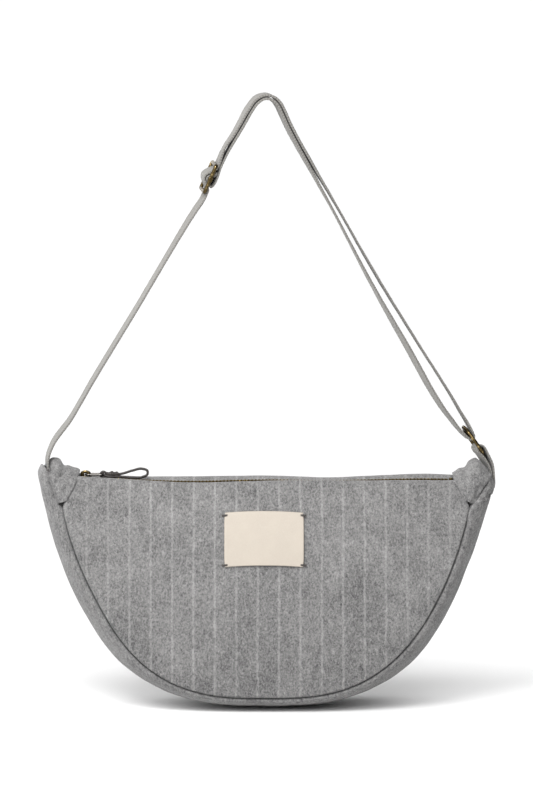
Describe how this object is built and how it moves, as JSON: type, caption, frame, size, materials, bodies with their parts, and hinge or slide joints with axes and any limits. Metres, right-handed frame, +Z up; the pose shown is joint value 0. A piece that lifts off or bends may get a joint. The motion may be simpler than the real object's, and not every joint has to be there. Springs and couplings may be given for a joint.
{
  "type": "half-moon belt bag with adjustable strap",
  "caption": "Half-moon felt belt and shoulder bag with a top zip, a bare front patch and an adjustable webbing strap held by a slider and a ring.",
  "frame": {"origin": "underside of the doubled strap at its highest point, where the bag hangs", "axes": "+X to the right seen from the front, +Y away from the front, +Z up"},
  "size_m": [0.3634, 0.086, 0.4887],
  "materials": {
    "striped_felt": "grey melange wool felt with thin light pinstripes",
    "plain_felt": "grey melange wool felt",
    "zip_tape": "woven grey tape",
    "zip_brass": "aged satin brass",
    "pull_steel": "dull grey wire",
    "thong_leather": "dark grey-brown leather",
    "label_patch": "smooth cream patch with a matt face",
    "webbing": "light grey flat webbing",
    "aged_brass": "aged brass with bright worn edges"
  },
  "bodies": {
    "bag": {"front_panel": "striped_felt", "back_panel": "striped_felt", "gusset": "plain_felt", "end_tab_left": "plain_felt", "end_tab_right": "plain_felt", "zip_tape_front": "zip_tape", "zip_tape_back": "zip_tape", "zip_teeth": "zip_brass", "zip_end_stop": "zip_brass", "zip_slider": "zip_brass", "label": "label_patch", "strap": "webbing", "ring_tab": "webbing", "strap_slider": "aged_brass", "strap_ring": "aged_brass"},
    "pull": {"pull_wire": "pull_steel", "pull_thong": "thong_leather"}
  },
  "joints": [
    {"name": "pull_hinge", "type": "hinge", "parent": "bag", "child": "pull", "pos_m": [-0.1437, 0, -0.29855], "axis": [0, -1, 0], "range_deg": [0, 90]}
  ]
}
